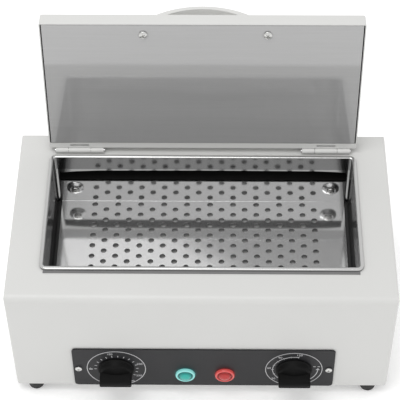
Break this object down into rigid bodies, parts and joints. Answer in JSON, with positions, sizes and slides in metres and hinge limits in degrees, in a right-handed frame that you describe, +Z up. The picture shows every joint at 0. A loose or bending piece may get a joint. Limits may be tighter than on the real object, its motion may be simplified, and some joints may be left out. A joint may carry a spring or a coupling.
{
  "type": "uv sterilizer cabinet",
  "caption": "Bench-top dry-heat sterilizer: white steel case, hinged lid with bow handle, stainless chamber with perforated tray, control panel with dial knobs and lamps.",
  "frame": {"origin": "centre of the footprint of the whole object with its lid standing open, on the surface it stands on", "axes": "+Z up, -Y to the front where the control panel is, +X to the right seen from the front"},
  "size_m": [0.3746, 0.2654, 0.3099],
  "materials": {
    "white_paint": "off-white powder coat, satin",
    "polished_steel": "mirror-polished stainless sheet",
    "satin_steel": "satin stainless",
    "zinc_steel": "zinc-plated steel",
    "black_panel": "charcoal printed panel, satin",
    "black_plastic": "black moulded plastic, semi-gloss",
    "black_rubber": "black rubber, matt",
    "white_plastic": "white moulded plastic",
    "green_lens": "clear green-blue lens",
    "red_lens": "clear red lens",
    "blackened_steel": "blackened steel",
    "fibre_board": "fibre insulation board",
    "mica": "mica plate over a heating wire",
    "copper": "bright copper",
    "cream_plastic": "heat-resistant moulding"
  },
  "bodies": {
    "casing": {"air_channel": "blackened_steel", "base_plate": "zinc_steel", "base_screw_front_left": "zinc_steel", "base_screw_front_right": "zinc_steel", "base_screw_rear_left": "zinc_steel", "base_screw_rear_right": "zinc_steel", "casing_shell": "white_paint", "chamber_insulation": "fibre_board", "chamber_tank": "polished_steel", "control_panel": "black_panel", "foot_front_left": "black_rubber", "foot_front_right": "black_rubber", "foot_rear_left": "black_rubber", "foot_rear_right": "black_rubber", "foot_screw_front_left": "zinc_steel", "foot_screw_front_right": "zinc_steel", "foot_screw_rear_left": "zinc_steel", "foot_screw_rear_right": "zinc_steel", "green_lamp_holder": "cream_plastic", "green_lamp_lens": "green_lens", "heater_clamp": "zinc_steel", "heater_nut_left": "zinc_steel", "heater_nut_right": "zinc_steel", "heater_plate": "mica", "hinge_case_leaf_left": "white_paint", "hinge_case_leaf_right": "white_paint", "hinge_pin_left": "satin_steel", "hinge_pin_right": "satin_steel", "inlet_screw_left": "zinc_steel", "inlet_screw_right": "zinc_steel", "mains_inlet": "black_plastic", "panel_screw_left": "zinc_steel", "panel_screw_right": "zinc_steel", "perforated_tray": "polished_steel", "red_lamp_holder": "cream_plastic", "red_lamp_lens": "red_lens", "temperature_body": "cream_plastic", "temperature_nut": "zinc_steel", "thermostat_bulb": "copper", "thermostat_capillary": "copper", "timer_body": "cream_plastic", "timer_nut": "zinc_steel", "tray_screw_left": "zinc_steel", "tray_screw_right": "zinc_steel", "tray_washer_left": "satin_steel", "tray_washer_right": "satin_steel"},
    "lid": {"lid_shell": "white_paint", "lid_liner": "satin_steel", "lid_insulation": "fibre_board", "lid_handle": "white_plastic", "handle_screw_left": "zinc_steel", "handle_screw_right": "zinc_steel", "hinge_lid_leaf_left": "white_paint", "hinge_lid_leaf_right": "white_paint"},
    "temperature_control": {"temperature_knob": "black_plastic", "temperature_spindle": "satin_steel"},
    "timer_control": {"timer_knob": "black_plastic", "timer_spindle": "satin_steel"}
  },
  "joints": [
    {"name": "lid_hinge", "type": "hinge", "parent": "casing", "child": "lid", "pos_m": [0, 0.07509, 0.1563], "axis": [1, 0, 0], "range_deg": [0, 97.5]},
    {"name": "temperature_turn", "type": "hinge", "parent": "casing", "child": "temperature_control", "pos_m": [-0.084, -0.11221, 0.0423], "axis": [0, 1, 0], "range_deg": [0, 240]},
    {"name": "timer_turn", "type": "hinge", "parent": "casing", "child": "timer_control", "pos_m": [0.091, -0.11221, 0.0423], "axis": [0, 1, 0], "range_deg": [0, 300]}
  ]
}
